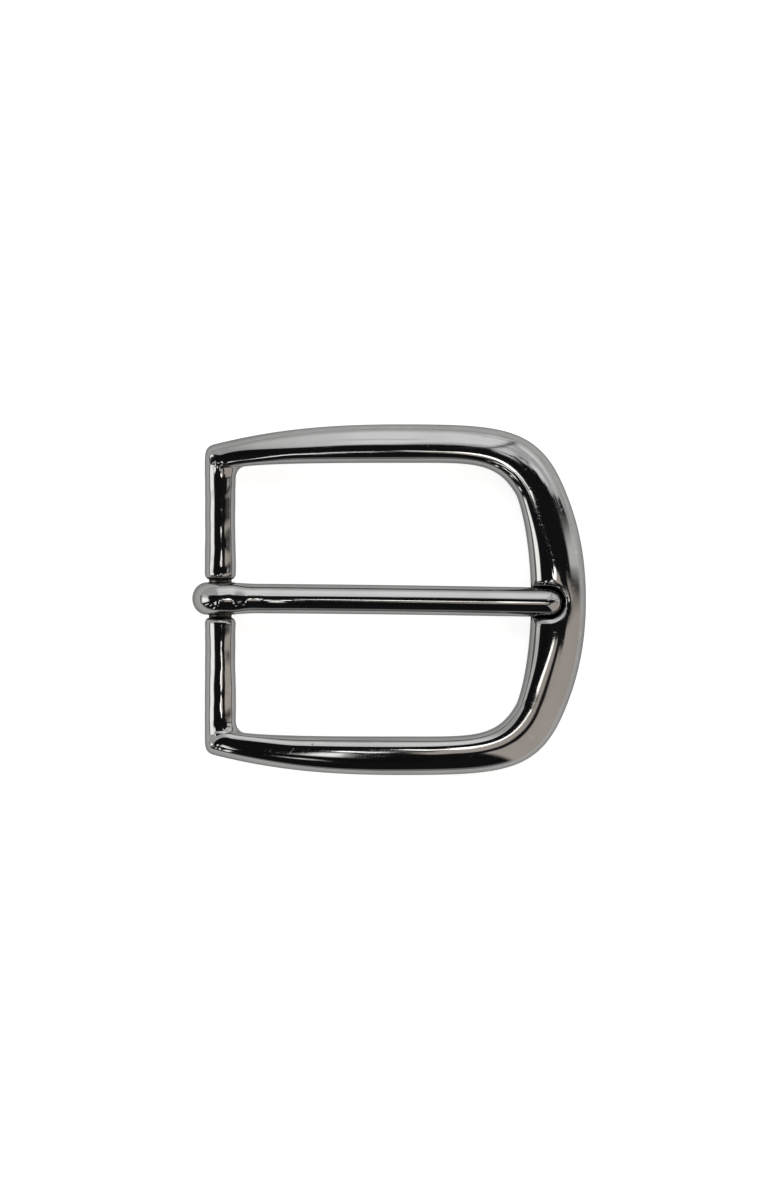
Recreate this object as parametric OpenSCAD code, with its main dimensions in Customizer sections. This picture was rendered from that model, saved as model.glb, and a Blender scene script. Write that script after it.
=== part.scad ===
// Gentlemen's dress belt buckle: a D-shaped frame, its heel bar and one swinging prong.
// Origin: on the heel bar's axis, halfway along it. +X points from the heel bar to the bow,
// +Y runs along the heel bar, +Z is the front face. Lengths are in millimetres.

/* [Frame outline] */
// Clear length of the heel bar between the arms, which the strap fills
strap_clear = 35; // [30:0.5:35.2]
// Inside height of the frame's window at its widest
window_h = 36; // [35.5:0.1:37]
// Outside height of the frame at its widest
frame_h = 46.2; // [45:0.1:48]
// From the heel bar's axis to the bow's inner edge
bow_inner_x = 41; // [40:0.1:42]
// From the heel bar's axis to the bow's outer edge
bow_outer_x = 48.3; // [47.5:0.1:50]

/* [Frame heights] */
// Crest height at the heel bar's ends
crest_bar = 2.5; // [2.3:0.1:3]
// Crest height halfway along the arms
crest_arm = 3; // [2.5:0.1:3.4]
// Crest height of the bow
crest_bow = 1.8; // [1.6:0.1:2.4]
// Underside height at the heel bar's ends
under_bar = -2.3; // [-2.6:0.1:-2.2]
// Underside height halfway along the arms
under_arm = -1.4; // [-1.7:0.1:-1]
// Underside height of the bow before its resting land is cut
under_bow = -4.0; // [-4.3:0.1:-3.9]

/* [Heel bar] */
// Diameter of the heel bar
bar_d = 4.1; // [3.8:0.1:4.4]
// Diameter of the neck that the prong turns on
neck_d = 3; // [2.6:0.1:3.2]
// Length of the neck between its shoulders
neck_len = 5.1; // [4.9:0.1:6]
// Sideways place of the neck's middle
neck_y = 0.15; // [-0.3:0.05:0.3]
// Rounding of the neck's shoulders
shoulder_round = 0.5; // [0.2:0.05:0.5]

/* [Prong] */
// Diameter of the prong's rod
rod_d = 3.9; // [3.6:0.1:4]
// From the heel bar's axis to the prong's tip
prong_reach = 45.25; // [44.5:0.05:45.4]
// Thickness of the half-round strip that curls round the neck
curl_t = 2.15; // [2:0.05:2.3]
// Radial running clearance of the curl on the neck
curl_gap = 0.06; // [0.04:0.01:0.09]
// Downward slope of the rod towards the bow, in degrees
droop = 1.8; // [1.5:0.1:2]
// Sideways set of the rod, in degrees
skew = 0.7; // [0:0.1:0.8]

/* [Seat] */
// Clearance between the seat and the prong's sides and tip
seat_gap = 0.3; // [0.25:0.05:0.5]
// Clearance left under the resting rod
seat_lift = 0.03; // [0.02:0.01:0.05]

/* [Hidden] */
$fn = 96;
eps = 0.01;

bar_r = bar_d / 2;
neck_r = neck_d / 2;
rod_r = rod_d / 2;
seat_r = rod_r + seat_gap;
bore_r = neck_r + curl_gap;
curl_r = bore_r + curl_t;
// The rod's top runs level with the curl's top where it leaves the heel bar.
rod_z = curl_r - rod_r;
// The plane that the curl and the bow both rest on.
rest_z = -curl_r;

arm_y = strap_clear / 2;
// How far past the heel bar's axis the flat faces at its ends reach.
face_len = bar_r + 0.55;
win_y = window_h / 2;
out_y = frame_h / 2;
// Where the arms' edges run level before they turn into the bow.
level_x = 24;
// The bow's cubic arcs start again at these places, where the corner turns sharpest.
out_turn = [bow_outer_x - 3.2, 0.67 * out_y];
in_turn = [bow_inner_x - 2, 0.77 * win_y];

// Each edge of the upper half is four cubic arcs: heel end, arm, corner and bow.
outer_edge = [
    [[-bar_r, out_y - 4.7], [-bar_r, out_y - 3.2], [-1.7, out_y - 2.8], [-0.6, out_y - 2.55]],
    [[-0.6, out_y - 2.55], [7, out_y - 0.7], [14, out_y], [level_x, out_y]],
    [[level_x, out_y], [36.8, out_y], [41.7, out_y - 0.2], out_turn],
    [out_turn, [out_turn[0] + 1.7, out_turn[1] - 3.8], [bow_outer_x, 0.3 * out_y], [bow_outer_x, 0]]
];
inner_edge = [
    [[-bar_r, arm_y - 0.3], [-1, arm_y - 0.3], [0.5, arm_y - 0.3], [1.5, arm_y - 0.25]],
    [[1.5, arm_y - 0.25], [4, win_y - 0.1], [12, win_y], [level_x, win_y]],
    [[level_x, win_y], [33, win_y], [36.4, win_y + 0.4], in_turn],
    [in_turn, [in_turn[0] + 0.5, in_turn[1] - 0.9], [bow_inner_x, 0.44 * win_y], [bow_inner_x, 0]]
];
// How many sections each arc gets, and how many points each section has.
arc_steps = [6, 12, 20, 14];
ring_points = 28;

// How square each quarter of the section is: 2 is an ellipse, less is leaner, more is squarer.
outer_square = 1.9;
inner_square_end = 4;
inner_square_arm = 2.2;
inner_square_bow = 2.6;
under_square = 2.8;
// How far the squarer heel ends take to ease into the arms.
end_run = 9;
// How far in from the window the crest runs along the bow and along the arms.
crest_in_bow = 2.9;
crest_in_arm = 1.7;
// The crest moves between those two over this stretch of Y.
crest_from_y = 4;
crest_to_y = 13;
// How much further in the crest runs at the heel ends, and over what stretch of X it eases off.
crest_in_end = 0.25;
crest_end_from_x = 2;
crest_end_to_x = 12;
// The crest stays on this side of the outer edge: 0 is the section's middle and 1 its outer edge.
crest_limit = 0.1;
// How much the heel ends of the arms are rounded off, and over what length.
end_round = 0.75;
end_len = bar_r;

function cubic(p, t) =
    pow(1 - t, 3) * p[0] + 3 * pow(1 - t, 2) * t * p[1] + 3 * (1 - t) * t * t * p[2] + pow(t, 3) * p[3];
function signed_pow(v, e) = sign(v) * pow(abs(v), e);
// Eases from a at t = 0 to b at t = 1.
function blend(a, b, t) =
    let (u = min(1, max(0, t))) a + (b - a) * u * u * (3 - 2 * u);

// A parabola through a at the heel bar, b halfway along the arms and c at the bow.
mid_x = 20;
bow_x = 45;
function height_at(x, a, b, c) =
    a * (x - mid_x) * (x - bow_x) / (mid_x * bow_x)
    + b * x * (x - bow_x) / (mid_x * (mid_x - bow_x))
    + c * x * (x - mid_x) / (bow_x * (bow_x - mid_x));
function end_factor(x) =
    let (d = min(1, max(0, (x + bar_r) / end_len))) 1 - end_round * (1 - sqrt(1 - pow(1 - d, 2)));

// One section of the frame between a point of the outer edge and one of the inner edge.
function ring(po, pi) =
    let (
        middle = (po + pi) / 2,
        half = (po - pi) / 2,
        shrink = end_factor(middle[0]),
        top = shrink * height_at(middle[0], crest_bar, crest_arm, crest_bow),
        under = shrink * height_at(middle[0], under_bar, under_arm, under_bow),
        waist = (top + under) / 2,
        end_part = (middle[0] - bar_r) / end_run,
        bow_part = (middle[0] - level_x) / (bow_x - level_x),
        arm_square = blend(inner_square_end, inner_square_arm, end_part),
        inner_square = blend(arm_square, inner_square_bow, bow_part),
        arm_part = (middle[1] - crest_from_y) / (crest_to_y - crest_from_y),
        heel_part = (middle[0] - crest_end_from_x) / (crest_end_to_x - crest_end_from_x),
        crest_in = blend(crest_in_bow, crest_in_arm, arm_part) + blend(crest_in_end, 0, heel_part),
        crest_place = min(crest_limit, -1 + crest_in / norm(half))
    )
    [for (k = [0:ring_points - 1])
        let (
            a = 360 * k / ring_points,
            over = sin(a) > 0,
            square = over ? (cos(a) > 0 ? outer_square : inner_square) : under_square,
            e = signed_pow(cos(a), 2 / square),
            h = signed_pow(sin(a), 2 / square),
            crest = over ? crest_place : 0,
            across = crest + e * (e > 0 ? 1 - crest : 1 + crest),
            p = middle + across * half
        )
        [p[0], p[1], waist + h * (top - waist)]
    ];

upper_rings = [
    for (s = [0:3])
        for (i = [(s == 0 ? 0 : 1):arc_steps[s]])
            ring(cubic(outer_edge[s], i / arc_steps[s]), cubic(inner_edge[s], i / arc_steps[s]))
];
last = len(upper_rings) - 1;
all_rings = concat(
    upper_rings,
    [for (j = [last - 1:-1:0]) [for (p = upper_rings[j]) [p[0], -p[1], p[2]]]]
);

module ring_loft(rings) {
    m = ring_points;
    n = len(rings) - 1;
    points = [for (r = rings) for (p = r) p];
    sides = [
        for (j = [0:n - 1])
            for (k = [0:m - 1])
                let (a = j * m + k, b = j * m + (k + 1) % m)
                    each [[a, b, b + m], [a, b + m, a + m]]
    ];
    caps = [[for (k = [m - 1:-1:0]) k], [for (k = [0:m - 1]) n * m + k]];
    polyhedron(points = points, faces = concat(sides, caps), convexity = 6);
}

// Turns a shape built along +Z to lie along the rod, starting over the heel bar.
module along_rod() {
    translate([0, neck_y, 0])
        rotate([0, 0, -skew])
            translate([0, 0, rod_z])
                rotate([0, 90 + droop, 0])
                    children();
}

// The space that the resting prong takes in the bow, open to the front.
module seat_cutter() {
    run_in = bow_inner_x - 4;
    nose = prong_reach - rod_r;
    raise = seat_gap - seat_lift;
    translate([0, 0, raise]) {
        along_rod()
            translate([0, 0, run_in])
                cylinder(r = seat_r, h = nose - run_in);
        along_rod()
            translate([0, 0, nose])
                sphere(r = seat_r);
        along_rod()
            translate([-2 * seat_r, -seat_r, run_in])
                cube([2 * seat_r, 2 * seat_r, nose - run_in]);
        along_rod()
            translate([0, 0, nose])
                rotate([0, -90, 0])
                    cylinder(r = seat_r, h = 2 * seat_r);
    }
}

module frame() {
    color("silver")
        difference() {
            ring_loft(all_rings);
            seat_cutter();
            // Flat faces that the heel bar's ends meet.
            translate([-bar_d, -arm_y, -bar_d])
                cube([bar_d + face_len, strap_clear, 2 * bar_d]);
            // Flat land under the bow.
            translate([0, -frame_h, rest_z - bar_d])
                cube([2 * bow_outer_x, 2 * frame_h, bar_d]);
        }
}

// Half of the heel bar's outline, from the neck's shoulder to an arm, turned about the bar's axis.
module bar_side(length) {
    rotate_extrude() {
        translate([0, shoulder_round])
            square([bar_r, length - shoulder_round]);
        square([bar_r - shoulder_round, shoulder_round + eps]);
        translate([bar_r - shoulder_round, shoulder_round])
            intersection() {
                circle(r = shoulder_round, $fn = 48);
                translate([0, -shoulder_round])
                    square(shoulder_round + eps);
            }
    }
}

module heel_bar() {
    upper_shoulder = neck_y + neck_len / 2;
    lower_shoulder = neck_y - neck_len / 2;
    // How far the neck's rod runs into each side of the bar.
    root = 1;
    color("silver") {
        translate([0, upper_shoulder, 0])
            rotate([-90, 0, 0])
                bar_side(arm_y - upper_shoulder);
        translate([0, lower_shoulder, 0])
            rotate([90, 0, 0])
                bar_side(arm_y + lower_shoulder);
        translate([0, lower_shoulder - root, 0])
            rotate([-90, 0, 0])
                cylinder(r = neck_r, h = neck_len + 2 * root);
    }
}

// The half-round strip, bent round the neck from under the rod's start to the seam below it.
module curl() {
    seam_angle = -15;
    start_angle = 80;
    translate([0, neck_y, 0])
        rotate([90, 0, 0])
            rotate([0, 0, start_angle])
                rotate_extrude(angle = 360 + seam_angle - start_angle)
                    intersection() {
                        translate([bore_r, 0])
                            circle(r = curl_t);
                        translate([bore_r, -2 * curl_t])
                            square([2 * curl_t, 4 * curl_t]);
                    }
}

module prong() {
    nose = prong_reach - rod_r;
    color("gainsboro")
        difference() {
            union() {
                curl();
                along_rod()
                    cylinder(r = rod_r, h = nose);
                along_rod()
                    translate([0, 0, nose])
                        sphere(r = rod_r);
            }
            // The bore that runs on the neck.
            translate([0, -arm_y, 0])
                rotate([-90, 0, 0])
                    cylinder(r = bore_r, h = strap_clear);
        }
}

frame();
heel_bar();
prong();
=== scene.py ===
import math

import bpy
import numpy as np
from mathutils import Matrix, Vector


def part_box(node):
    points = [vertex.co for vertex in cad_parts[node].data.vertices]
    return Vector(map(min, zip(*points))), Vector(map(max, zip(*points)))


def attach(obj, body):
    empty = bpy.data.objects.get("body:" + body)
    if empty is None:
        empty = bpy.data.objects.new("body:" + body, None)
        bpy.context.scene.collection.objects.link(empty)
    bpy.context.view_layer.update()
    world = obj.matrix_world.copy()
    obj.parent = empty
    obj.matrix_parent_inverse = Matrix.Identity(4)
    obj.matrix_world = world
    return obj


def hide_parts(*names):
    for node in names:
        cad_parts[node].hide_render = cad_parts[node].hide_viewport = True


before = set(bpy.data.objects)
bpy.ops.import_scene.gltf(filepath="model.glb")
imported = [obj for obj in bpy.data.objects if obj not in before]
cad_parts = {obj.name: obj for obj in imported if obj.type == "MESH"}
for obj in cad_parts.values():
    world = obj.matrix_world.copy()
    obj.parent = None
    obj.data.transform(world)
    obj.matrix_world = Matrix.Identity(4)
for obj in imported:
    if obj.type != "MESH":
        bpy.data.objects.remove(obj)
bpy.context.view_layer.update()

# The shapes are worked out in millimetres, in the CAD model's frame: the origin is halfway along
# the heel bar's axis, +X points to the bow, +Y runs along the bar and +Z is out of the front face.
MM = 0.001


def corners(node):
    """A CAD node's lowest and highest corners, in millimetres."""
    low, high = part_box(node)
    return np.array(low) / MM, np.array(high) / MM


frame_low, frame_high = corners("frame")
_, bar_high = corners("heel_bar")
prong_low, prong_high = corners("prong")

# Sizes that the CAD model's boxes give.
OUT_Y = frame_high[1]  # half the frame's width
BOW_OUTER_X = frame_high[0]
REST_Z = frame_low[2]  # the flat land under the bow
BAR_R = bar_high[0]
ARM_Y = bar_high[1]  # where the arms begin at the bar
CURL_R = -prong_low[2]
REACH = prong_high[0]  # the prong's tip

# Other sizes that are the same as in the CAD model.
WIN_Y = 18.0  # half the window's width
BOW_INNER_X = 41.0
LEVEL_X = 24.0  # where both edges of an arm run parallel to X
# The frame's crest and underside, at X = 0, at MID_X and at BOW_X.
MID_X, BOW_X = 20.0, 45.0
CREST = (2.5, 3.0, 1.8)
UNDER = (-2.3, -1.4, -4.0)
# How square each quarter of the frame's section is: 2 is an ellipse, and more is squarer.
OUTER_SQUARE = 1.9
UNDER_SQUARE = 2.8
INNER_SQUARE_END, INNER_SQUARE_ARM, INNER_SQUARE_BOW = 4, 2.2, 2.6
END_RUN = 9  # how far the squarer heel ends take to ease into the arms
CREST_IN_BOW = 2.9  # how far in from the window the crest runs
CREST_IN_END = 0.25  # how much further in it runs at the heel ends
CREST_LIMIT = 0.1  # the crest stays on this side: 0 is the section's middle, 1 its outer edge
NECK_R = 1.5
NECK_LEN = 5.1
NECK_Y = 0.15
BORE_R = 1.56
ROD_R = 1.95
ROD_Z = CURL_R - ROD_R
DROOP = math.radians(1.8)  # the rod's slope down towards the bow
SKEW = math.radians(0.7)  # how far the rod is turned in plan
SEAT_LIFT = 0.03

# Sizes that the looks have differently, or that only they have.
CREST_IN_ARM = 1.6
END_ROUND = 0.97  # how much the heel ends are rounded off
SEAT_GAP = 0.11  # between the seat and the prong
SEAT_FLARE = math.radians(84)  # how steeply the seat's sides rise to the bow's front
SEAT_BLEND = 0.28  # how softly they turn into it
LAND_BLEND = 0.08
SHOULDER_ROUND = 0.8  # at both ends of the bar's neck
BAR_FILLET = 1.5  # where the bar runs into an arm
CURL_HALF_WIDTH = 2.15
CURL_EDGE = 0.25  # how thick the curl is at its sides
ROUND_RUN = 3.6  # the curl's section becomes the rod's over this length
WIDTH_RUN = 5.0  # and its width becomes the rod's over this one
BEND_RUN = 6.0  # the rod turns askew gradually over this length
SWELL_END = 9.5  # the rod is thickest here
THIN_X = 36.0  # the rod thins from here to its nose
NOSE_LEN = 1.25 * ROD_R


def smoothstep(low, high, x):
    """Eases from 0 at low to 1 at high."""
    t = np.clip((x - low) / (high - low), 0, 1)
    return t * t * (3 - 2 * t)


def ease(a, b, low, high, x):
    """Eases from a at low to b at high."""
    return a + (b - a) * smoothstep(low, high, x)


def bell(x, centre, width):
    """A smooth bump of height 1."""
    return np.exp(-(((x - centre) / width) ** 2))


def signed_power(v, power):
    return np.sign(v) * np.abs(v) ** power


def smooth_min(a, b, k):
    """The smaller of two heights, rounded off where they are within k of each other."""
    t = np.clip(0.5 + 0.5 * (b - a) / k, 0, 1)
    return b + (a - b) * t - k * t * (1 - t)


def cubic(points, t):
    """Points along a cubic curve with four control points."""
    a, b, c, d = (np.array(p, float) for p in points)
    t = np.asarray(t)[:, None]
    return (1 - t) ** 3 * a + 3 * (1 - t) ** 2 * t * b + 3 * (1 - t) * t**2 * c + t**3 * d


def circle(steps):
    """Angles round a section, as a row."""
    return np.linspace(0, 2 * math.pi, steps, endpoint=False)[None, :]


def outward(rings):
    """The rings in the order that makes their faces look outwards."""
    centre = rings.mean(axis=1, keepdims=True)
    along = np.gradient(centre[:, 0], axis=0)
    a, b = rings[:, 0] - centre[:, 0], rings[:, 1] - centre[:, 0]
    turn = (np.cross(a, b) * along).sum()
    return rings if turn < 0 else rings[:, ::-1]


def tube(name, rings):
    """A closed tube of quads through rings of points, in millimetres, with its two ends capped."""
    rings = outward(rings)
    count, around = rings.shape[:2]
    faces = [
        (j * around + k, j * around + (k + 1) % around,
         (j + 1) * around + (k + 1) % around, (j + 1) * around + k)
        for j in range(count - 1)
        for k in range(around)
    ]
    faces.append(tuple(range(around))[::-1])
    faces.append(tuple((count - 1) * around + k for k in range(around)))
    mesh = bpy.data.meshes.new(name)
    mesh.from_pydata((rings.reshape(-1, 3) * MM).tolist(), [], faces)
    mesh.validate()
    mesh.update()
    mesh.shade_smooth()
    piece = bpy.data.objects.new(name, mesh)
    bpy.context.scene.collection.objects.link(piece)
    return piece


# ---------------------------------------------------------------- the frame

def frame_edges():
    """The +Y half's outer and inner edges in plan, from the heel end to the bow's middle."""
    out_turn = (BOW_OUTER_X - 3.2, 0.67 * OUT_Y)
    in_turn = (BOW_INNER_X - 2, 0.77 * WIN_Y)
    face = ARM_Y - 0.3
    outer = [
        [(-BAR_R, OUT_Y - 4.7), (-BAR_R, OUT_Y - 3.2), (-1.7, OUT_Y - 2.8), (-0.6, OUT_Y - 2.55)],
        [(-0.6, OUT_Y - 2.55), (7, OUT_Y - 0.7), (14, OUT_Y), (LEVEL_X, OUT_Y)],
        [(LEVEL_X, OUT_Y), (36.8, OUT_Y), (41.7, OUT_Y - 0.2), out_turn],
        [out_turn, (out_turn[0] + 1.7, out_turn[1] - 3.8),
         (BOW_OUTER_X, 0.3 * OUT_Y), (BOW_OUTER_X, 0)],
    ]
    inner = [
        [(-BAR_R, face), (-1, face), (0.5, face), (1.5, face + 0.05)],
        [(1.5, face + 0.05), (4, WIN_Y - 0.1), (12, WIN_Y), (LEVEL_X, WIN_Y)],
        [(LEVEL_X, WIN_Y), (33, WIN_Y), (36.4, WIN_Y + 0.4), in_turn],
        [in_turn, (in_turn[0] + 0.5, in_turn[1] - 0.9),
         (BOW_INNER_X, 0.44 * WIN_Y), (BOW_INNER_X, 0)],
    ]
    # The sections crowd together towards the heel end and the seat, where the shape is finest.
    spread = [
        np.linspace(0, 1, 23) ** 1.6,
        np.linspace(0, 1, 71)[1:],
        np.linspace(0, 1, 111)[1:],
        1 - (1 - np.linspace(0, 1, 141)[1:]) ** 1.3,
    ]
    return (
        np.vstack([cubic(c, t) for c, t in zip(outer, spread)]),
        np.vstack([cubic(c, t) for c, t in zip(inner, spread)]),
    )


def height_at(x, heights):
    """A parabola through the heights at the heel bar, halfway along the arms and at the bow."""
    a, b, c = heights
    return (
        a * (x - MID_X) * (x - BOW_X) / (MID_X * BOW_X)
        + b * x * (x - BOW_X) / (MID_X * (MID_X - BOW_X))
        + c * x * (x - MID_X) / (BOW_X * (BOW_X - MID_X))
    )


def frame_rings():
    """Sections across the frame, from one heel end round the bow to the other."""
    outer, inner = frame_edges()
    middle, half = (outer + inner) / 2, (outer - inner) / 2
    x, y = middle[:, :1], middle[:, 1:]
    # The heel ends are rounded off over the bar's radius.
    run_in = np.clip((x + BAR_R) / BAR_R, 0, 1)
    shrink = 1 - END_ROUND * (1 - np.sqrt(1 - (1 - run_in) ** 2))
    top = shrink * height_at(x, CREST)
    waist = (top + shrink * height_at(x, UNDER)) / 2

    # The crest runs a steady distance in from the window, closer along the arms than along the
    # bow. Its place is from -1 at the window's edge to 1 at the outer edge.
    from_window = ease(CREST_IN_BOW, CREST_IN_ARM, 4, 13, y) + ease(0, CREST_IN_END, 12, 2, x)
    half_width = np.linalg.norm(half, axis=1, keepdims=True)
    crest_place = np.minimum(-1 + from_window / half_width, CREST_LIMIT)

    # Each quarter of a section is part of a superellipse.
    arm_square = ease(INNER_SQUARE_END, INNER_SQUARE_ARM, BAR_R, BAR_R + END_RUN, x)
    inner_square = ease(arm_square, INNER_SQUARE_BOW, LEVEL_X, BOW_X, x)
    a = circle(112)
    front = np.sin(a) > 0
    front_square = np.where(np.cos(a) > 0, OUTER_SQUARE, inner_square)
    square = np.where(front, front_square, UNDER_SQUARE)
    e = signed_power(np.cos(a), 2 / square)
    h = signed_power(np.sin(a), 2 / square)
    crest = np.where(front, crest_place, 0.0)
    across = crest + e * np.where(e > 0, 1 - crest, 1 + crest)
    upper = np.empty((len(outer), a.size, 3))
    upper[..., 0] = x + across * half[:, :1]
    upper[..., 1] = y + across * half[:, 1:]
    upper[..., 2] = waist + h * (top - waist)
    lower = upper[-2::-1] * (1, -1, 1)
    return np.vstack([upper, lower])


def from_rod(x, y):
    """How far along the resting rod a point in plan is, and how far from its axis."""
    along = x * math.cos(SKEW) - (y - NECK_Y) * math.sin(SKEW)
    aside = (x - BEND_RUN / 2) * math.sin(SKEW) + (y - NECK_Y) * math.cos(SKEW)
    nose = REACH - ROD_R
    away = np.where(along > nose, np.hypot(along - nose, aside), np.abs(aside))
    return np.minimum(along, nose), away


def seat_dip(x, y):
    """How far the bow's front sinks towards the seat: steeply beside it and gently further out."""
    _, away = from_rod(x, y)
    beyond = np.maximum(away - ROD_R, 0)
    steep, gentle = 0.36 * bell(beyond, 0, 0.5), 0.07 * bell(beyond, 0, 1.6)
    clear_of_edge = smoothstep(BOW_OUTER_X - 0.5, BOW_OUTER_X - 3, x)
    return (steep + gentle) * clear_of_edge


def seat_height(x, y):
    """The height of the seat, which cradles the prong and flares up to the bow's front."""
    along, away = from_rod(x, y)
    radius = ROD_R + SEAT_GAP
    middle_z = ROD_Z - along * math.tan(DROOP) + SEAT_GAP - SEAT_LIFT
    flare_from = radius * math.sin(SEAT_FLARE)
    bowl = middle_z - np.sqrt(np.maximum(radius**2 - away**2, 0))
    wall = (
        middle_z - radius * math.cos(SEAT_FLARE) + (away - flare_from) * math.tan(SEAT_FLARE)
    )
    return np.where(away < flare_from, bowl, wall)


def build_frame():
    rings = frame_rings()
    x, y, z = (rings[..., i] for i in range(3))
    near_seat = (x > BOW_INNER_X - 2) & (np.abs(y) < 6)
    no_seat = 99.0
    seat = np.where(near_seat, seat_height(x, y), no_seat)
    z = smooth_min(z - seat_dip(x, y) * (z > 0), seat, SEAT_BLEND)
    # The flat land under the bow, with a slightly rounded edge.
    z = np.maximum(-smooth_min(-z, -REST_Z, LAND_BLEND), REST_Z)
    # The heel ends don't reach into the bar's clear length.
    by_bar = x < BAR_R + 0.5
    y = np.where(by_bar, np.sign(y) * np.maximum(np.abs(y), ARM_Y), y)
    rings = np.stack([x, y, z], axis=-1)
    piece = tube("frame_casting", rings)
    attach(piece, "frame")
    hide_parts("frame")
    return piece


# ---------------------------------------------------------------- the heel bar

def bar_radius(y):
    """The bar's radius along its length: the neck, its two rounded shoulders and the full bar."""
    from_middle = np.abs(y - NECK_Y)
    shoulder = NECK_LEN / 2
    t = np.clip((from_middle - shoulder) / SHOULDER_ROUND, 0, 1)
    rise = np.sqrt(1 - (1 - t) ** 2)
    return np.where(from_middle < shoulder, NECK_R, NECK_R + (BAR_R - NECK_R) * rise)


def bar_stops():
    """Where the bar's sections are: closest together at its shoulders and by the arms."""
    inside_arm = 0.9
    end = ARM_Y + inside_arm
    by_arm = ARM_Y - 2.5
    low, high = NECK_Y - NECK_LEN / 2, NECK_Y + NECK_LEN / 2
    crowd = SHOULDER_ROUND * (1 - np.cos(np.linspace(0, math.pi / 2, 22)))
    return np.unique(np.round(np.concatenate([
        np.linspace(-end, -by_arm, 45),
        np.linspace(-by_arm, low - SHOULDER_ROUND, 50),
        low - crowd,
        np.linspace(low, high, 20),
        high + crowd,
        np.linspace(high + SHOULDER_ROUND, by_arm, 50),
        np.linspace(by_arm, end, 45),
    ]), 5))


def build_bar():
    a = circle(96)
    y = bar_stops()[:, None]
    window_side = np.maximum(np.cos(a), 0) ** 2
    # The bar is waisted very slightly, about halfway between its neck and each arm.
    halfway, waist_run = 9, 3.5
    waist = 0.04 * np.cos(math.pi / 2 * np.clip((np.abs(y) - halfway) / waist_run, -1, 1))
    radius = bar_radius(y) - waist * window_side
    # A fillet runs from the bar into each arm: wide on the window's side, slight front and back.
    run = np.clip((np.abs(y) - (ARM_Y - BAR_FILLET)) / BAR_FILLET, 0, 1)
    fillet = BAR_FILLET * (1 - np.sqrt(1 - run**2))
    not_behind = np.cos(a) > -0.3
    radius = radius + fillet * (0.75 * window_side + 0.12 * (1 - window_side) * not_behind)
    # The bar was polished by hand, so it isn't quite round: shallow lumps wander along it.
    clear_of_neck = smoothstep(2.8, 4.2, np.abs(y - NECK_Y))
    clear_of_arms = smoothstep(ARM_Y - 0.3, ARM_Y - 2, np.abs(y))
    lumps = (
        0.03 * np.sin(2 * a + 1.3 * np.sin(0.37 * y + 0.4))
        + 0.016 * np.sin(3 * a + 0.35 * y + np.sin(1.3 * y))
        - 0.02
    )
    radius = radius + clear_of_neck * clear_of_arms * lumps
    rings = np.stack([radius * np.cos(a), y + 0 * a, radius * np.sin(a)], axis=-1)
    piece = tube("strap_bar", rings)
    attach(piece, "frame")
    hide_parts("heel_bar")
    return piece


# ---------------------------------------------------------------- the prong

def prong_top(run):
    """The distance from the bar's axis to the prong's front, at a distance along the rod."""
    # The strip is slightly wavy where it was bent. The rod swells a little beyond the bend, is
    # back to its own size at THIN_X, and thins to its nose.
    waves = 0.12 * bell(run, 3.6, 1.05) - 0.06 * bell(run, 1.7, 0.8)
    swelling = smoothstep(SWELL_END - 4, SWELL_END, run)
    easing_off = np.clip((run - SWELL_END) / (THIN_X - SWELL_END), 0, 1)
    swell = 0.09 * (swelling - easing_off)
    thinning = 0.3 * np.clip((run - THIN_X) / (REACH - THIN_X), 0, 1) ** 1.6
    return CURL_R + waves * (run > 0) + swell - thinning


def prong_rings():
    """Sections along the prong: from the curl's seam round the bar, and along the rod to its nose."""
    # The curl's sections go by their angle, from +X towards +Z, and the rod's by their run.
    seam = math.radians(348)
    leave = math.pi / 2 - DROOP
    rod_len = (REACH - ROD_Z * math.sin(DROOP)) / math.cos(DROOP) - NOSE_LEN
    curl_angles = np.linspace(seam, leave, 130, endpoint=False)
    rod_runs = np.concatenate([
        np.linspace(0, BEND_RUN, 70, endpoint=False),
        np.linspace(BEND_RUN, rod_len, 110, endpoint=False),
        rod_len + NOSE_LEN * np.sin(np.linspace(0, math.pi / 2 * 0.985, 30)),
    ])
    angle = np.concatenate([curl_angles, np.full(len(rod_runs), leave)])[:, None]
    run = np.concatenate([np.zeros(len(curl_angles)), rod_runs])[:, None]

    # The curl's section is a half-round with its flat side on the neck; the rod's is round.
    to_rod = smoothstep(0, ROUND_RUN, run)
    top = prong_top(run)
    bottom = BORE_R + (CURL_R - 2 * ROD_R - BORE_R) * to_rod
    centre = (top + bottom) / 2
    widest = (1 - to_rod) * (BORE_R + CURL_EDGE) + to_rod * centre
    half_width = ease(CURL_HALF_WIDTH, ROD_R, 0, WIDTH_RUN, run)
    flat = 2 / (2 + 3 * (1 - to_rod))
    # The sections shrink round the nose, and slightly where the strip ends at the seam.
    nose = np.sqrt(np.maximum(1 - (np.maximum(run - rod_len, 0) / NOSE_LEN) ** 2.6, 0))
    by_seam = np.where(run < 1e-9, 0.9 + 0.1 * smoothstep(-0.12, 0.25, seam - angle), 1)
    shrink = nose * by_seam

    t = circle(96)
    front = np.sin(t) >= 0
    side = np.where(front, np.cos(t), signed_power(np.cos(t), flat))
    lift = np.where(
        front, (top - widest) * np.sin(t), (widest - bottom) * signed_power(np.sin(t), flat)
    )
    radial = centre + (widest + lift - centre) * shrink
    outwards = np.stack([np.cos(angle), 0 * angle, np.sin(angle)], axis=-1)
    onwards = np.array([math.cos(DROOP), 0, -math.sin(DROOP)])
    rings = outwards * radial[..., None] + onwards * run[..., None]

    # The rod is set a little askew in plan and bows very slightly towards +Y on its way.
    turned = np.where(run < BEND_RUN, run**2 / (2 * BEND_RUN), run - BEND_RUN / 2)
    bow = 0.07 * np.sin(math.pi * np.clip(run / rod_len, 0, 1))
    rings[..., 1] += side * half_width * shrink + NECK_Y - math.tan(SKEW) * turned + bow
    return rings


def build_prong():
    piece = tube("prong_rod", prong_rings())
    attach(piece, "prong")
    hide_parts("prong")
    return piece


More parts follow.
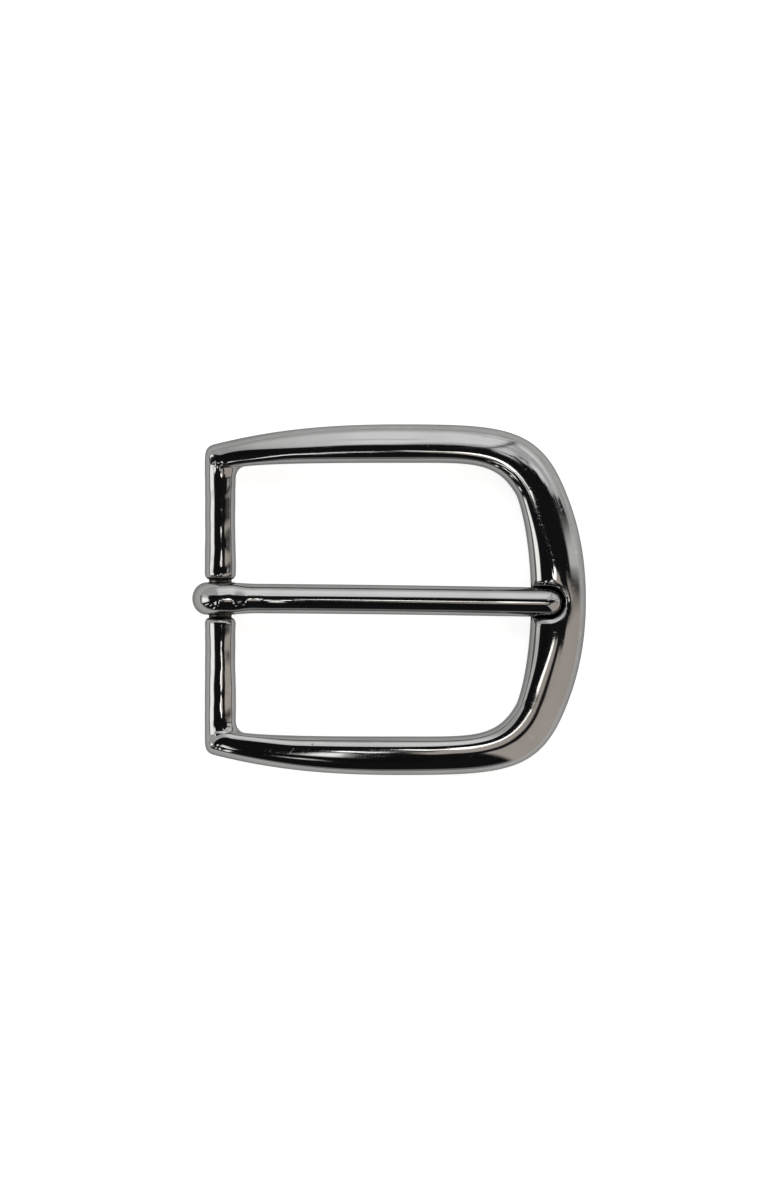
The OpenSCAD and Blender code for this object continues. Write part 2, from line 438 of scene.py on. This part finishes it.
# ---------------------------------------------------------------- materials

class Nodes:
    """A short way to add nodes to a tree and link them."""

    def __init__(self, tree):
        self.tree = tree
        tree.nodes.clear()

    def set(self, socket, value):
        if isinstance(value, bpy.types.NodeSocket):
            self.tree.links.new(value, socket)
        else:
            socket.default_value = value

    def add(self, kind, inputs=None, **settings):
        node = self.tree.nodes.new(kind)
        for name, value in settings.items():
            setattr(node, name, value)
        for name, value in (inputs or {}).items():
            self.set(node.inputs[name], value)
        return node

    def math(self, operation, a, b=0.0):
        return self.add("ShaderNodeMath", {0: a, 1: b}, operation=operation).outputs[0]

    def span(self, value, low, high, to_low=0.0, to_high=1.0):
        """value mapped smoothly from low..high to to_low..to_high."""
        return self.add(
            "ShaderNodeMapRange",
            {"Value": value, "From Min": low, "From Max": high,
             "To Min": to_low, "To Max": to_high},
            interpolation_type="SMOOTHSTEP",
        ).outputs[0]

    def mix(self, factor, a, b):
        """Colour a at factor 0 and colour b at factor 1."""
        factor_input, a_input, b_input = 0, 6, 7
        node = self.add(
            "ShaderNodeMix", {factor_input: factor, a_input: a, b_input: b}, data_type="RGBA"
        )
        return node.outputs[2]

    def noise(self, place, scale, detail):
        return self.add(
            "ShaderNodeTexNoise", {"Vector": place, "Scale": scale, "Detail": detail}
        ).outputs["Fac"]

    def mapping(self, place, **inputs):
        return self.add("ShaderNodeMapping", {"Vector": place, **inputs}).outputs[0]


def new_material(name):
    material = bpy.data.materials.new(name)
    material.use_nodes = True
    return material, Nodes(material.node_tree)


def grey(value):
    return (value, value, value, 1)


def scaled(colour, by):
    return tuple(min(1, c * by) for c in colour[:3]) + (1,)


def nickel(name, seed, tint, ripple, ripple_scale, buffed_along, painted_neck_shade=None):
    """Polished nickel plate: slight colour drift, cloudy roughness, ripples, pits and hairlines.

    ripple is the ripples' height in millimetres, and buffed_along the axis that hairlines follow.
    The last argument gives the Y and the half-length, in millimetres, of a stretch whose colour is
    darkened with painted shade, where the bar's neck sits inside the prong's curl.
    """
    material, n = new_material(name)
    place = n.add("ShaderNodeTexCoord").outputs["Object"]
    shifted = n.mapping(place, Location=(seed, 2 * seed, -seed))

    cloud = n.noise(shifted, 120, 4)
    fine = n.noise(shifted, 2600, 3)
    # Hairlines run mostly one way, as the buffing wheel did, and a few stray ones cross them.
    combing = {"x": (260, 9000, 9000), "y": (9000, 260, 9000)}[buffed_along]
    hair = n.span(n.noise(n.mapping(shifted, Scale=combing), 1, 2), 0.62, 0.74)
    crossed = n.mapping(shifted, Scale=(3800, 3800, 3800), Rotation=(0.3, 0.5, 0.8))
    crossed = n.mapping(crossed, Scale=(1, 0.05, 1))
    stray = n.span(n.noise(crossed, 1, 1), 0.70, 0.76)
    # Sparse pits in the plating: a dot in the middle of a few cells.
    cells = n.add("ShaderNodeTexVoronoi", {"Vector": shifted, "Scale": 900.0}, feature="F1")
    pick = n.add("ShaderNodeSeparateColor", {"Color": cells.outputs["Color"]}).outputs[0]
    dot = n.span(cells.outputs["Distance"], 0.16, 0.05)
    pit = n.math("MULTIPLY", dot, n.span(pick, 0.955, 0.96))

    # The plate is brighter where edges have been rubbed, and darker in its pits.
    worn = n.span(n.add("ShaderNodeNewGeometry").outputs["Pointiness"], 0.5, 0.56)
    colour = n.mix(n.span(cloud, 0.35, 0.7), tint, scaled(tint, 0.9))
    colour = n.mix(n.math("MULTIPLY", worn, 0.5), colour, scaled(tint, 1.12))
    colour = n.mix(n.math("MULTIPLY", pit, 0.7), colour, grey(0.05))

    rough = n.span(cloud, 0.3, 0.75, 0.035, 0.075)
    # Painted shade: the bar's neck, which sits inside the prong's curl, is darkened in colour and
    # made rougher over this stretch.
    if painted_neck_shade:
        middle, half_length = painted_neck_shade
        edge = 0.15
        along = n.add("ShaderNodeSeparateXYZ", {"Vector": place}).outputs["Y"]
        away = n.math("ABSOLUTE", n.math("SUBTRACT", along, middle * MM))
        painted_shade = n.span(away, (half_length + edge) * MM, (half_length - edge) * MM)
        painted_shade = n.math("MULTIPLY", painted_shade, n.span(fine, 0.3, 0.6, 0.75, 1.0))
        colour = n.mix(painted_shade, colour, (0.05, 0.045, 0.04, 1))
        rough = n.math("ADD", rough, n.math("MULTIPLY", painted_shade, 0.35))
    rough = n.math("ADD", rough, n.math("MULTIPLY", hair, 0.05))
    rough = n.math("ADD", rough, n.math("MULTIPLY", stray, 0.09))
    rough = n.math("ADD", rough, n.span(fine, 0.45, 0.8, 0.0, 0.03))

    # Heights, in millimetres.
    wave = n.math("MULTIPLY", n.noise(shifted, ripple_scale, 1.5), ripple)
    marks = n.math("ADD", n.math("MULTIPLY", hair, 0.0006), n.math("MULTIPLY", stray, 0.0012))
    marks = n.math("ADD", marks, n.math("MULTIPLY", pit, 0.006))
    relief = n.math("SUBTRACT", wave, marks)
    bump = n.add("ShaderNodeBump", {"Height": relief, "Strength": 1.0, "Distance": MM})
    shader = n.add(
        "ShaderNodeBsdfPrincipled",
        {"Base Color": colour, "Roughness": rough, "Normal": bump.outputs["Normal"],
         "Metallic": 1.0, "Specular Tint": grey(0.4)},
    )
    n.add("ShaderNodeOutputMaterial", {"Surface": shader.outputs[0]})
    return material


# ---------------------------------------------------------------- floor, light and camera

def build_floor():
    """A plain pale table top that the buckle lies on. It glows, so that it photographs white."""
    half_size = 3.2
    z = (REST_Z - 0.02) * MM
    mesh = bpy.data.meshes.new("table_top")
    square = [(-half_size, -half_size, z), (half_size, -half_size, z),
              (half_size, half_size, z), (-half_size, half_size, z)]
    mesh.from_pydata(square, [], [(0, 1, 2, 3)])
    floor = bpy.data.objects.new("table_top", mesh)
    bpy.context.scene.collection.objects.link(floor)
    material, n = new_material("pale_card")
    place = n.add("ShaderNodeTexCoord").outputs["Object"]
    colour = n.mix(n.noise(place, 900.0, 3.0), grey(0.48), (0.52, 0.52, 0.515, 1))
    shader = n.add(
        "ShaderNodeBsdfPrincipled",
        {"Base Color": colour, "Roughness": 0.9, "Specular IOR Level": 0.1,
         "Emission Color": grey(1), "Emission Strength": 0.76},
    )
    n.add("ShaderNodeOutputMaterial", {"Surface": shader.outputs[0]})
    mesh.materials.append(material)


def build_world():
    """A dim studio around the buckle, which its polished metal mirrors.

    It is built of zones of the sky. theta is a direction's angle from straight up, and azimuth its
    turn from +X towards +Y, both in degrees.
    """
    world = bpy.data.worlds.new("studio")
    bpy.context.scene.world = world
    world.use_nodes = True
    n = Nodes(world.node_tree)
    degrees = 180 / math.pi
    way = n.add("ShaderNodeTexCoord").outputs["Generated"]
    clouds = n.noise(way, 3.0, 3.0)
    x, y, z = n.add("ShaderNodeSeparateXYZ", {"Vector": way}).outputs
    flat = n.math("SQRT", n.math("SUBTRACT", 1.0, n.math("MULTIPLY", z, z)))
    flat = n.math("MAXIMUM", flat, 0.001)
    to_x, to_y = n.math("DIVIDE", x, flat), n.math("DIVIDE", y, flat)
    theta = n.math("MULTIPLY", n.math("ARCCOSINE", z), degrees)
    # The zones' edges waver a little, as a room's do.
    theta = n.math("ADD", theta, n.span(clouds, 0.3, 0.7, -2.0, 2.0))

    def off_azimuth(azimuth):
        """How many degrees of azimuth a direction is from the one given."""
        turn = math.radians(azimuth)
        along_x = n.math("MULTIPLY", to_x, math.cos(turn))
        along_y = n.math("MULTIPLY", to_y, math.sin(turn))
        facing = n.math("ADD", along_x, along_y)
        return n.math("MULTIPLY", n.math("ARCCOSINE", facing), degrees)

    def zone(azimuth, half, low, high, soft=2.0, side_soft=2.5):
        """1 within half of an azimuth and between two values of theta, with soft edges."""
        side = n.span(off_azimuth(azimuth), half + side_soft, half - side_soft)
        inner = n.span(theta, low - soft, low + soft)
        outer = n.span(theta, high + soft, high - soft)
        return n.math("MULTIPLY", side, n.math("MULTIPLY", inner, outer))

    # A large soft panel stands on the +Y side. It has a straight edge, parallel to X, which is
    # ragged on the bow's side, and it ends towards -X.
    to_panel = n.math("MULTIPLY", theta, to_y)
    ragged = n.math(
        "MULTIPLY", n.span(n.noise(way, 7.0, 4.0), 0.35, 0.65, -5.0, 5.0),
        n.span(off_azimuth(22), 38, 18),
    )
    to_panel = n.math("ADD", to_panel, ragged)
    panel = n.math("MULTIPLY", n.span(to_panel, 18, 22), n.span(off_azimuth(60), 110, 102))
    lit, dim, cloudy = (2.05, 2.05, 2.08, 1), grey(1.0), (1.2, 1.2, 1.22, 1)
    panel_shade = n.mix(n.span(off_azimuth(60), 28, 54), lit, dim)
    panel_shade = n.mix(n.span(theta, 60, 84), panel_shade, dim)
    panel_shade = n.mix(n.span(clouds, 0.5, 0.36), panel_shade, cloudy)

    bright, white, pale = (5.5, 5.4, 5.3, 1), (3.0, 3.0, 2.95, 1), (1.5, 1.5, 1.48, 1)
    taupe, faint = (1.1, 1.0, 0.92, 1), (0.3, 0.295, 0.29, 1)
    layers = [
        # A darker band low down, so that the buckle stands out when it is seen from the side.
        (n.span(theta, 79, 84), (0.5, 0.5, 0.49, 1)),
        (panel, panel_shade),
        (zone(60, 1.5, 15, 72, 4, 3), grey(0.12)),
        (zone(9, 5, 50, 120, 3, 3), pale),
        # Warm grey walls on the bow's side.
        (zone(-38, 26, 28, 120, 1.5), taupe),
        (zone(-36, 30, 9, 21, 1.5), taupe),
        (zone(-69, 8, 13, 20, 1.5), taupe),
        (zone(-8, 8, 38, 120), taupe),
        # Narrow strips high up, which draw thin bright lines along the crests.
        (zone(-24, 20, 7.5, 12, 0.7, 3), bright),
        (zone(-51, 10, 4.5, 9, 0.7, 3), bright),
        (zone(-73, 12, 7, 11, 0.7, 3), faint),
        (zone(-92, 7, 10, 13.5, 0.7, 3), bright),
        (zone(-97, 3, 18, 30, 3, 2), white),
        # Small lamps beyond the heel bar's -Y end.
        (zone(235, 5, 24, 38, 3, 3), white),
        (zone(244, 4, 34, 44, 3, 3), white),
        (zone(262, 1, 44, 48, 2, 2), white),
        (zone(215, 1.5, 58, 76, 2, 1), white),
        (zone(230, 1.5, 52, 66, 2, 1), white),
        (zone(250, 1.5, 62, 76, 2, 1), white),
        # A tall light behind the heel bar.
        (zone(168, 8, 49, 79, 3, 2), pale),
        (zone(188, 13, 48, 80, 4, 3), white),
    ]
    colour = n.mix(clouds, (0.006, 0.006, 0.007, 1), (0.03, 0.03, 0.032, 1))
    for mask, shade in layers:
        colour = n.mix(mask, colour, shade)
    sky = n.add("ShaderNodeBackground", {"Color": colour, "Strength": 1.0})
    n.add("ShaderNodeOutputWorld", {"Surface": sky.outputs[0]})


def build_light():
    """A broad overhead light for the table, which the metal doesn't mirror."""
    light = bpy.data.lights.new("overhead", "AREA")
    light.shape = "SQUARE"
    light.size = 1.8
    light.energy = 3.5
    lamp = bpy.data.objects.new("overhead", light)
    lamp.location = (0.1, 0.1, 1.4)
    lamp.visible_glossy = False
    bpy.context.scene.collection.objects.link(lamp)


def build_camera():
    """Straight down on the front face, with +Y up in the picture."""
    lens, sensor = 100.0, 36.0
    # What the picture's long side spans at the crest's height, and the point it is centred on.
    view_long = 157.4
    aim_x, aim_y, crest_z = 22.38, 0.22, 1.0
    camera_data = bpy.data.cameras.new("camera")
    camera_data.lens = lens
    camera_data.sensor_width = sensor
    camera_data.clip_start = 0.01
    camera_data.clip_end = 20
    camera = bpy.data.objects.new("camera", camera_data)
    camera.location = (aim_x * MM, aim_y * MM, (view_long * lens / sensor + crest_z) * MM)
    bpy.context.scene.collection.objects.link(camera)
    bpy.context.scene.camera = camera


frame_nickel = nickel("frame_nickel", 0.37, (0.28, 0.278, 0.273, 1), 0.004, 420, "x")
# The bar's neck gets painted shade where it sits inside the prong's curl.
bar_nickel = nickel(
    "bar_nickel", 1.13, (0.28, 0.277, 0.27, 1), 0.03, 350, "y", painted_neck_shade=(NECK_Y, 2.75)
)
prong_nickel = nickel("prong_nickel", 2.71, (0.29, 0.288, 0.283, 1), 0.004, 500, "x")
build_frame().data.materials.append(frame_nickel)
build_bar().data.materials.append(bar_nickel)
build_prong().data.materials.append(prong_nickel)
build_floor()
build_world()
build_light()
build_camera()
bpy.context.scene.view_settings.view_transform = "Standard"
